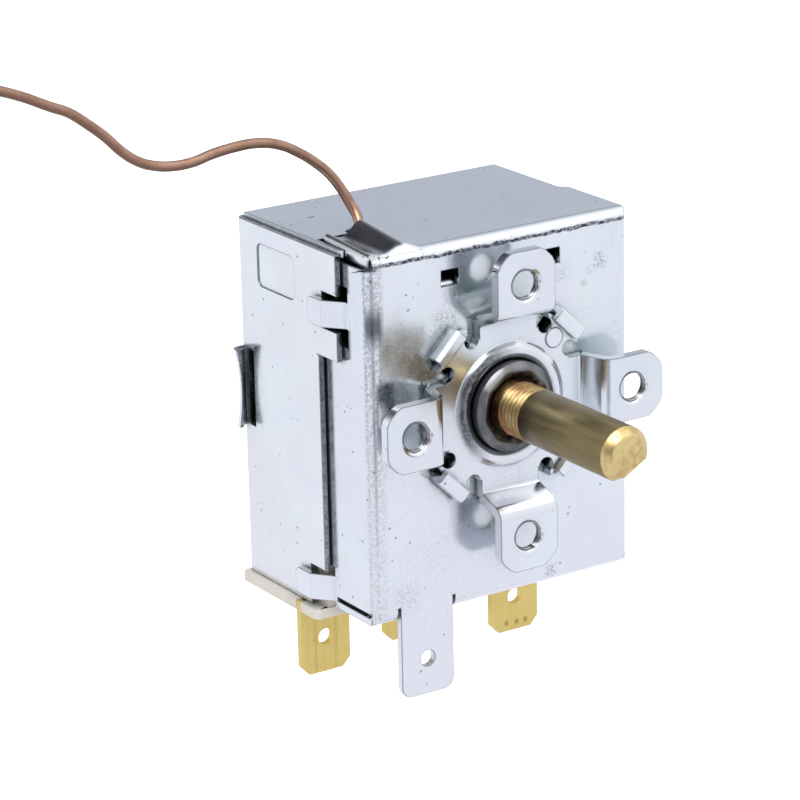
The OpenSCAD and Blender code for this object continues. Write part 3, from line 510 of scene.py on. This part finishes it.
def zinc(name, colour, gloss=0.13, marks=1.0, plate=False, ring=False, cut_edges=False):
    """Bright zinc plate: cloudy blue-white, fine dark specks, faint scratches, a slight wave, and painted
    shade in crevices and wide corners.

    The front frame has plate marks and painted shade on its clamp, the spider painted shade on its ring,
    and the cover raw cut edges.
    """
    m, tree, shader = new_material(name)
    where = place(tree)
    axes = split(tree, where)
    cloud = noise(tree, where, 130, 3, 0.55)
    grain = noise(tree, where, 5200, 2, 0.6)
    rash = remap(tree, noise(tree, where, 3000, 3, 0.7), 0.42, 0.6)
    dirt_and_shade, scratch = zinc_wear_and_shade(tree, where, grain, cloud, marks)
    tint = zinc_tint_and_corner_shade(tree, where, cloud, colour)
    if cut_edges:
        tint = raw_edges(tree, rash, tint)
    if ring:
        tint = ring_shade(tree, axes, rash, tint)
    if plate:
        tint, dirt_and_shade = plate_marks_and_shade(tree, where, axes, rash, tint, dirt_and_shade)
    # specks, pits, scratches, marks and painted crevice shade darken the plating here
    put(tree, mixed(tree, dirt_and_shade, tint, DIRT_AND_SHADE_TONE), shader.inputs["Base Color"])
    put(tree, 1.0, shader.inputs["Metallic"])
    rough = remap(tree, noise(tree, where, 420, 3, 0.6), 0.3, 0.7, gloss - 0.035, gloss + 0.05)
    rough = maths(tree, "ADD", rough, times(tree, dirt_and_shade, 0.35))
    if plate:
        rough = maths(tree, "ADD", rough, times(tree, clamp_shade(tree, axes), 0.24))
    put(tree, rough, shader.inputs["Roughness"])
    wave = bump(tree, noise(tree, where, 170, 2, 0.4), 0.04 * MM, 0.5)
    fine = bump(tree, grain, 0.0035 * MM, 0.5, wave)
    put(tree, bump(tree, scratch, 0.004 * MM, 0.35 * marks, fine), shader.inputs["Normal"])
    return m


def metal(name, colour, dark, gloss, grain_size=3000, lines=None, mottle=0.5, wave=0.0, dark_spots=(),
          grooves=0.0, underside_shade=0.0):
    """Plain metal with uneven tone and fine grain.

    Where given, it has drawn lines, small dark spots, painted shade in its grooves and painted shade on its
    underside.
    """
    m, tree, shader = new_material(name)
    where = place(tree)
    axes = split(tree, where)
    cloud = noise(tree, where, 260, 3, 0.6)
    grain = noise(tree, where, grain_size, 3, 0.6)
    tone = remap(tree, cloud, 0.35, 0.68, 0, mottle)
    if lines:
        streaks = noise(tree, stretched(tree, where, lines), 1, 3, 0.6)
        tone = maths(tree, "ADD", times(tree, tone, 0.6),
                     remap(tree, streaks, 0.4, 0.68, 0, mottle * 0.7))
    tint = mixed(tree, tone, colour, dark)
    tint = mixed(tree, remap(tree, grain, 0.6, 0.75, 0, 0.35), tint, shaded(dark, 0.35))
    for dx, dy, dz in dark_spots:
        spans = {"X": (dx, 0.12, 0.25), "Z": (dz, 0.12, 0.3), "Y": (dy, 0.2, 0.2)}
        tint = mixed(tree, times(tree, region(tree, axes, spans), 0.75), tint, shaded(dark, 0.45))
    # painted shade on the underside, darker where the surface faces down
    if underside_shade:
        under = remap(tree, facing(tree)["Z"], -0.5, 0.55, underside_shade, 0.0)
        tint = mixed(tree, under, tint, shaded(dark, 0.6))
    # painted shade in grooves
    if grooves:
        tint = mixed(tree, corners(tree, grooves, 0.5, 1.0), tint, shaded(dark, 0.2))
    put(tree, tint, shader.inputs["Base Color"])
    put(tree, 1.0, shader.inputs["Metallic"])
    put(tree, remap(tree, cloud, 0.3, 0.7, gloss, gloss + 0.12), shader.inputs["Roughness"])
    normal = bump(tree, grain, 0.006 * MM, 0.5)
    if lines:
        normal = bump(tree, streaks, 0.012 * MM, 0.5, normal)
    if wave:
        normal = bump(tree, noise(tree, where, 500, 2), wave, 0.6, normal)
    put(tree, normal, shader.inputs["Normal"])
    return m


def shaft_metal(name):
    """Dull turned brass: long fine scratches, copper-brown screw with painted shade in its grooves,
    brighter end face and bevel.
    """
    m, tree, shader = new_material(name)
    where = place(tree)
    y = split(tree, where)["Y"]
    cloud = noise(tree, stretched(tree, where, (700, 120, 700)), 1, 3, 0.5)
    streaks = noise(tree, stretched(tree, where, (4200, 90, 4200)), 1, 3, 0.65)
    grain = noise(tree, where, 3500, 3, 0.6)
    tint = mixed(tree, remap(tree, cloud, 0.35, 0.68), (0.275, 0.22, 0.11), (0.23, 0.18, 0.095))
    tint = mixed(tree, remap(tree, streaks, 0.5, 0.68, 0, 0.45), tint, (0.14, 0.105, 0.06))
    tint = mixed(tree, remap(tree, grain, 0.6, 0.74, 0, 0.3), tint, (0.13, 0.1, 0.05))
    swirl = remap(tree, noise(tree, where, 700, 3, 0.6, 1.0), 0.35, 0.65)
    bright = mixed(tree, swirl, (0.8, 0.62, 0.3), (0.62, 0.45, 0.2))
    tint = mixed(tree, above(tree, y, *BRIGHT_END, 1.0, 0.0), tint, bright)
    patch = remap(tree, noise(tree, where, 300, 2), 0.4, 0.6)
    brown = mixed(tree, patch, (0.44, 0.32, 0.15), (0.26, 0.14, 0.07))
    # painted shade in the screw's grooves
    brown = mixed(tree, corners(tree, 0.4 * MM, 0.5, 1.0), brown, (0.1, 0.05, 0.02))
    tint = mixed(tree, above(tree, y, *BROWN_START), tint, brown)
    put(tree, tint, shader.inputs["Base Color"])
    put(tree, 1.0, shader.inputs["Metallic"])
    put(tree, remap(tree, cloud, 0.3, 0.7, 0.3, 0.34), shader.inputs["Roughness"])
    normal = bump(tree, streaks, 0.006 * MM, 0.4, bump(tree, grain, 0.005 * MM, 0.5))
    put(tree, normal, shader.inputs["Normal"])
    return m


def plastic(name, colour, shade, gloss, speck_colour=None):
    """Moulded plastic with a slight mottle, fine grain and a few specks."""
    m, tree, shader = new_material(name)
    where = place(tree)
    tint = mixed(tree, remap(tree, noise(tree, where, 300, 3, 0.6), 0.35, 0.7), colour, shade)
    grain = noise(tree, where, 4200, 2)
    if speck_colour:
        tint = mixed(tree, remap(tree, dots(tree, where, 900), 0.03, 0.08, 0.5, 0.0), tint, speck_colour)
    put(tree, tint, shader.inputs["Base Color"])
    put(tree, remap(tree, grain, 0.3, 0.7, gloss, gloss + 0.12), shader.inputs["Roughness"])
    put(tree, bump(tree, grain, 0.01 * MM, 0.4), shader.inputs["Normal"])
    return m


def paint(names, material):
    """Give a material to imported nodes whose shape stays."""
    for name in names:
        for s in nodes[name].material_slots:
            s.material = material


# pieces
def add_piece(name, data, body):
    """Object for a mesh, riding on a body."""
    obj = link(bpy.data.objects.new(name, data))
    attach(obj, body)
    return obj


def node_copy(name, material):
    """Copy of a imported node's mesh with one material."""
    data = nodes[name].data.copy()
    while len(data.materials) > 1:
        data.materials.pop()
    data.materials[0] = material
    return data


def new_mesh(name, verts, faces, material):
    """Closed mesh from points in millimetres, smooth but for its sharp edges."""
    data = bpy.data.meshes.new(name)
    data.from_pydata([millimetres(p) for p in verts], [], faces)
    work = bmesh.new()
    work.from_mesh(data)
    bmesh.ops.remove_doubles(work, verts=work.verts, dist=0.001 * MM)
    bmesh.ops.recalc_face_normals(work, faces=work.faces)
    work.to_mesh(data)
    work.free()
    data.shade_smooth()
    data.set_sharp_from_angle(angle=math.radians(50))
    data.materials.append(material)
    return data


def tube_faces(base, rows, sides):
    """Faces of a closed band of rows of points, each row a ring of the same number of sides."""
    faces = []
    for j in range(rows - 1):
        a, b = base + j * sides, base + (j + 1) * sides
        for i in range(sides):
            k = (i + 1) % sides
            faces.append((a + i, a + k, b + k, b + i))
    return faces


def calm_normals(data, limit=38):
    """Corner normals that follow the widest faces, so that flat sheet stays flat to its edges.

    The faces round a point count where they turn by less than the limit in degrees.
    """
    work = bmesh.new()
    work.from_mesh(data)
    work.normal_update()
    least = math.cos(math.radians(limit))
    normals = []
    for face in work.faces:
        for loop in face.loops:
            total = Vector()
            for other in loop.vert.link_faces:
                if other.normal.dot(face.normal) > least:
                    total += other.normal * other.calc_area() ** 1.5
            normals.append(total.normalized() if total.length > 0 else face.normal.copy())
    work.free()
    data.normals_split_custom_set(normals)


def softened(name, material, width=0.1, rim=None, keep=lambda edge: True):
    """Copy of a housing node with its flat faces joined and its edges rounded a little.

    The bends are rounded first, then the sheared edges, which take the rim material where one is
    given. No point leaves the node's own box.
    """
    data = node_copy(name, material)
    if rim:
        data.materials.append(rim)
    work = bmesh.new()
    work.from_mesh(data)
    bmesh.ops.remove_doubles(work, verts=work.verts, dist=0.002 * MM)
    bmesh.ops.dissolve_limit(work, angle_limit=math.radians(0.3), verts=work.verts, edges=work.edges)
    low = [min(v.co[i] for v in work.verts) for i in range(3)]
    high = [max(v.co[i] for v in work.verts) for i in range(3)]
    for least, most, slot_index in ((32, 60, -1), (60, 181, 1 if rim else -1)):
        edges = [e for e in work.edges if len(e.link_faces) == 2 and keep(e)
                 and math.radians(least) < e.calc_face_angle() <= math.radians(most)]
        bmesh.ops.bevel(work, geom=edges, offset=width * MM, segments=2, profile=0.6,
                        affect="EDGES", clamp_overlap=False, material=slot_index)
    for v in work.verts:
        v.co = Vector([min(max(v.co[i], low[i]), high[i]) for i in range(3)])
    work.to_mesh(data)
    work.free()
    data.shade_smooth()
    calm_normals(data)
    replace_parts(add_piece(name + "_finish", data, "housing"), name)


def spring_finish(material):
    """The return spring, in a mesh of its own; the real spring shortens under the push pin."""
    obj = add_piece("return_spring_finish", node_copy("return_spring", material), "housing")
    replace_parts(obj, "return_spring")
    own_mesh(obj)


def beside_clamp(edge):
    """True for every edge but those of the tiny step where the clamp runs into the top sheet."""
    step_x, reach, step_low = -9, 0.2, 18
    middle = (edge.verts[0].co + edge.verts[1].co) / 2
    return not (abs(middle.x - step_x * MM) < reach * MM and middle.z > step_low * MM)


def swept(name, material, sections):
    """Closed solid skinned over closed sections of the same number of points.

    Each end is closed by strips from the outer side of its section to the inner side.
    """
    n = len(sections[0])
    faces = tube_faces(0, len(sections), n)
    last = (len(sections) - 1) * n
    for i in range(n // 2 - 1):
        faces.append((i, n - 1 - i, n - 2 - i, i + 1))
        faces.append((last + i, last + i + 1, last + n - 2 - i, last + n - 1 - i))
    verts = [p for section in sections for p in section]
    add_piece(name, new_mesh(name, verts, faces, material), "housing")


def curl(start, sweep, steps, at, sheet):
    """Section of curled sheet: out along its outer side and back along its inner side.

    at(angle, inset, share) gives the point that lies inset from the outer side.
    """
    shares = [k / steps for k in range(steps + 1)]
    turns = [math.radians(start + sweep * share) for share in shares]
    outer = [at(turn, 0, share) for turn, share in zip(turns, shares)]
    inner = [at(turn, sheet, share) for turn, share in zip(turns, shares)]
    return outer + inner[::-1]


def clamp_hem(material):
    """Edge of the clamp curled under at the left, deepest at the front."""
    x, width, sheet, steps = -15.9, 0.55, 0.3, 12
    front, length = 5.35, 8.1
    sections = []
    for j in range(steps + 1):
        t = j / steps
        y = front + length * t
        top, bottom = 18.85 + 0.5 * t, 17.1 + 1.3 * t * t
        middle, reach = (top + bottom) / 2, (top - bottom) / 2

        def at(turn, inset, share):
            return x + (width - inset) * math.cos(turn), y, middle + (reach - inset) * math.sin(turn)

        sections.append(curl(80, 205, 12, at, sheet))
    swept("clamp_hem", material, sections)


def window_lugs(material):
    """Rounded back of the lug that is bent in at the foot of each window."""
    sheet, radius, half, steps = 0.3, 0.95, 0.98, 8
    centre_y, centre_z, end_drop = 5.95, WINDOW_LOW - 0.4, 0.3
    for side, x in (("left", -WINDOW_X), ("right", WINDOW_X)):
        sections = []
        for j in range(steps + 1):
            t = 2 * j / steps - 1
            z = centre_z - end_drop * t ** 4

            def at(turn, inset, share):
                r = radius - inset
                return x + half * t, centre_y - r * math.cos(turn), z + r * math.sin(turn)

            sections.append(curl(0, 100, 8, at, sheet))
        swept("window_lug_" + side, material, sections)


def wall_ear(material):
    """Half louvre at the rear of the left wall, flared at both ends."""
    x, y, low, high = -17.68, 27.8, -5.35, 3.6
    sheet, radius, steps = 0.5, 1.08, 20
    sections = []
    for j in range(steps + 1):
        z = low + (high - low) * j / steps
        t = 2 * j / steps - 1
        flare = 0.55 * max(0, t) ** 2 + 0.4 * max(0, -t) ** 2

        def at(turn, inset, share):
            r = radius + flare * min(1, share * 1.5) - inset
            return x - r * math.sin(turn), y + r * math.cos(turn), z

        sections.append(curl(-12, 108, 12, at, sheet))
    swept("wall_ear", material, sections)


def turned(name, body, material, rings, sides, shape):
    """Turned piece along Y from rings of (radius, y), where shape gives each point's x and z."""
    verts = []
    for r, y in rings:
        for i in range(sides):
            x, z = shape(r, y, 2 * math.pi * i / sides)
            verts.append((x, y, z))
    return add_piece(name, new_mesh(name, verts, tube_faces(0, len(rings), sides), material), body)


def shaft_finish(material):
    """Control shaft with its screw, small rounded edges, bevelled end and flat."""
    r = SHAFT_RADIUS
    screw_back, screw_front, pitch, depth, steps = 1.3, -2.3, 0.62, 0.27, 72
    rings = [(0, SHAFT_BACK), (r - 0.4, SHAFT_BACK), (r, SHAFT_BACK - 0.4)]
    rings += [(r, screw_back + (screw_front - screw_back) * k / steps) for k in range(steps + 1)]
    rings += [(r, SHAFT_ROUND_END + 0.02), (r, SHAFT_ROUND_END - 0.02)]
    rings += [(r, SHAFT_FRONT + 0.95), (r - 0.06, SHAFT_FRONT + 0.84), (r - 0.72, SHAFT_FRONT + 0.06),
              (r - 0.82, SHAFT_FRONT), (0, SHAFT_FRONT)]

    def shape(radius, y, angle):
        if screw_front <= y <= screw_back:
            fade = min(1, (screw_back - y) / 0.1, (y - screw_front) / 0.35)
            phase = (y / pitch + angle / (2 * math.pi)) % 1
            radius -= depth * fade * abs(2 * phase - 1)
        x, z = radius * math.cos(angle), radius * math.sin(angle)
        out = x * FLAT_NORMAL[0] + z * FLAT_NORMAL[1] - FLAT_AT
        if y < SHAFT_ROUND_END and out > 0:
            x, z = x - out * FLAT_NORMAL[0], z - out * FLAT_NORMAL[1]
        return x, z

    obj = turned("shaft_finish", "spindle", material, rings, 144, shape)
    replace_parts(obj, "control_shaft")


def hub_finish(material):
    """Steel bush with a staked, faceted rim and a groove round the shaft."""
    rings = [(3.05, 7.6), (4.2, 7.6), (4.2, 6.55), (6, 6.55), (6, 5.6), (4.98, 5.6), (4.98, 2.4),
             (4.94, 2.28), (4.6, 2.05), (4.5, 1.95), (4.35, 1.88), (4.2, 1.89), (4.05, 1.98), (3.55, 2.45),
             (3.4, 2.52), (3.3, 2.7), (3.05, 2.75), (3.05, 7.6)]
    facets, first_turn, rim_inner, rim_outer, rim_back = 9, 0.2, 3.45, 4.65, 2.6
    facet = 2 * math.pi / facets

    def shape(radius, y, angle):
        if rim_inner < radius < rim_outer and y < rim_back:
            turn = (angle + first_turn) % facet - facet / 2
            radius *= 1 - 0.8 * (1 - math.cos(facet / 2) / math.cos(turn))
        return radius * math.cos(angle), radius * math.sin(angle)

    obj = turned("hub_finish", "housing", material, rings, 108, shape)
    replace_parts(obj, "spindle_bush")


def hole_threads(material):
    """Screw ridges inside the four panel holes of the ears."""
    sides, rows = 40, 26
    radius, depth, low, high, pitch = 1.66, 0.2, 0.32, 1.12, 0.35
    verts, faces = [], []
    for cx, cz in PANEL_HOLES:
        faces += [face[::-1] for face in tube_faces(len(verts), rows + 1, sides)]
        for j in range(rows + 1):
            y = low + (high - low) * j / rows
            fade = min(1, j / 3, (rows - j) / 3)
            for i in range(sides):
                t = i / sides
                phase = ((y - low) / pitch + t) % 1
                r = radius - depth * fade * (1 - abs(2 * phase - 1))
                a = 2 * math.pi * t
                verts.append(millimetres((cx + r * math.cos(a), y, cz + r * math.sin(a))))
    data = bpy.data.meshes.new("hole_threads")
    data.from_pydata(verts, [], faces)
    data.shade_smooth()
    data.materials.append(material)
    add_piece("hole_threads", data, "housing")


# studio
def make_floor():
    """White floor: it keeps a faint shadow, and the bright metal mirrors it with a darker front left."""
    bpy.ops.mesh.primitive_plane_add(size=8, location=(0, 0, cad_low.z - 0.0005))
    floor = bpy.context.object
    floor.name = "floor"
    m, tree, shader = new_material("floor_white")
    put(tree, (0.9, 0.9, 0.9), shader.inputs["Base Color"])
    put(tree, 0.9, shader.inputs["Roughness"])
    put(tree, 0.0, shader.inputs["Specular IOR Level"])
    put(tree, (1.0, 1.0, 1.0), shader.inputs["Emission Color"])
    path = tree.nodes.new("ShaderNodeLightPath")
    put(tree, remap(tree, path.outputs["Is Diffuse Ray"], 0, 1, FLOOR_GLOW, 0.0),
        shader.inputs["Emission Strength"])
    where = place(tree)
    away = tree.nodes.new("ShaderNodeVectorMath")
    away.operation = "DISTANCE"
    put(tree, where, away.inputs[0])
    away.inputs[1].default_value = FLOOR_DARK_SPOT
    lit = remap(tree, away.outputs["Value"], *FLOOR_DARK_REACH)
    tone = mixed(tree, lit, (0.05, 0.05, 0.055), FLOOR_MIRRORED)
    cloud = remap(tree, noise(tree, where, 14, 2), 0.4, 0.65, 0, 0.5)
    tone = mixed(tree, cloud, tone, shaded(FLOOR_MIRRORED, 0.88))
    glow = tree.nodes.new("ShaderNodeEmission")
    put(tree, tone, glow.inputs["Color"])
    either = tree.nodes.new("ShaderNodeMixShader")
    put(tree, path.outputs["Is Glossy Ray"], either.inputs[0])
    put(tree, shader.outputs[0], either.inputs[1])
    put(tree, glow.outputs[0], either.inputs[2])
    put(tree, either.outputs[0], tree.nodes["Material Output"].inputs[0])
    floor.data.materials.append(m)


def make_world():
    """Even room that the metal mirrors with a few soft shapes, and pure white behind the object."""
    world = bpy.data.worlds.new("studio")
    world.use_nodes = True
    tree = world.node_tree
    direction = tree.nodes.new("ShaderNodeTexCoord").outputs["Generated"]
    tone = ROOM
    for centre, inner, outer, colour in PATCHES:
        dot = tree.nodes.new("ShaderNodeVectorMath")
        dot.operation = "DOT_PRODUCT"
        put(tree, direction, dot.inputs[0])
        dot.inputs[1].default_value = Vector(centre).normalized()
        inside = remap(tree, dot.outputs["Value"], math.cos(math.radians(outer)),
                       math.cos(math.radians(inner)))
        tone = mixed(tree, inside, tone, colour)
    path = tree.nodes.new("ShaderNodeLightPath")
    seen = mixed(tree, path.outputs["Is Glossy Ray"], (0.8, 0.8, 0.8), tone)
    clear = maths(tree, "MAXIMUM", path.outputs["Is Camera Ray"], path.outputs["Is Transmission Ray"])
    put(tree, mixed(tree, clear, seen, (1.0, 1.0, 1.0)), tree.nodes["Background"].inputs["Color"])
    scene.world = world


def key_light(spot, size, power):
    """Soft lamp that points at the middle of the panel holes."""
    data = bpy.data.lights.new("key", "AREA")
    data.shape = "RECTANGLE"
    data.size = size
    data.size_y = size
    data.energy = power
    obj = link(bpy.data.objects.new("key", data))
    obj.location = spot
    obj.rotation_euler = (-Vector(spot)).to_track_quat("-Z", "Y").to_euler()


make_camera()
plate = zinc("zinc_plate", (0.87, 0.9, 0.94), 0.17, 1.2, plate=True)
cover = zinc("zinc_cover", (0.89, 0.92, 0.95), 0.19, 1.3, cut_edges=True)
spider = zinc("zinc_spider", (0.86, 0.89, 0.93), 0.18, 1.0, ring=True)
sheared = zinc("sheared_zinc", (0.42, 0.44, 0.47), 0.25, 1.4)
dark_steel = metal("dark_steel", (0.25, 0.25, 0.26), (0.12, 0.12, 0.125), 0.3, mottle=0.9, wave=0.03 * MM,
                   grooves=0.3 * MM)
shaft_brass = shaft_metal("shaft_brass")
thread_zinc = metal("thread_zinc", (0.4, 0.42, 0.44), (0.16, 0.16, 0.17), 0.12, grooves=0.35 * MM)
tab_brass = metal("tab_brass", (0.8, 0.62, 0.22), (0.69, 0.51, 0.16), 0.24, lines=(1400, 1400, 50),
                  dark_spots=((7.2, 15, -30.6), (8.6, 15, -30.7), (9.8, 15, -30.7)))
copper = metal("copper", (0.49, 0.3, 0.22), (0.27, 0.145, 0.1), 0.2, lines=(700, 700, 700), underside_shade=0.8)
cream = plastic("cream_plastic", (0.7, 0.67, 0.61), (0.65, 0.61, 0.54), 0.42, (0.5, 0.45, 0.36))
steel = metal("inner_steel", (0.5, 0.51, 0.53), (0.36, 0.37, 0.38), 0.26, lines=(60, 60, 1200))
make_capillary(copper)
softened("front_frame", plate, 0.1, sheared, beside_clamp)
softened("rear_cover", cover, 0.08, sheared)
softened("mounting_spider", spider, 0.1, sheared)
clamp_hem(plate)
window_lugs(plate)
wall_ear(cover)
softened("terminal_base", cream, 0.12)
for name in ("terminal_left", "terminal_middle", "terminal_right"):
    softened(name, tab_brass, 0.06)
hole_threads(thread_zinc)
spring_finish(steel)
shaft_finish(shaft_brass)
hub_finish(dark_steel)
paint(["chamber_lid"], cream)
paint(["sensing_bulb"], copper)
paint(["stop_pin", "stop_disc", "lever_bracket", "bracket_rivets", "lever_pin", "rocker_lever",
       "calibration_screw"], steel)
paint(["thrust_ball"], metal("ball_steel", (0.75, 0.76, 0.78), (0.6, 0.61, 0.63), 0.06))
paint(["diaphragm_capsule", "capsule_button"],
      metal("capsule_steel", (0.6, 0.61, 0.62), (0.48, 0.49, 0.5), 0.2, lines=(900, 60, 900)))
paint(["snap_blade"],
      metal("spring_bronze", (0.55, 0.34, 0.2), (0.42, 0.25, 0.14), 0.22, lines=(40, 1200, 1200)))
paint(["blade_rivet"], tab_brass)
paint(["moving_contact", "upper_contact", "lower_contact"],
      metal("silver_contact", (0.82, 0.81, 0.78), (0.68, 0.67, 0.63), 0.12))
paint(["push_pin"], plastic("push_plastic", (0.14, 0.07, 0.04), (0.1, 0.05, 0.03), 0.4))
paint(["coil_tie"], plastic("tie_plastic", (0.82, 0.82, 0.8), (0.74, 0.74, 0.72), 0.45))
make_floor()
make_world()
key_light((-0.25, -0.35, 0.7), 0.5, 3.2)
scene.view_settings.view_transform = "Standard"
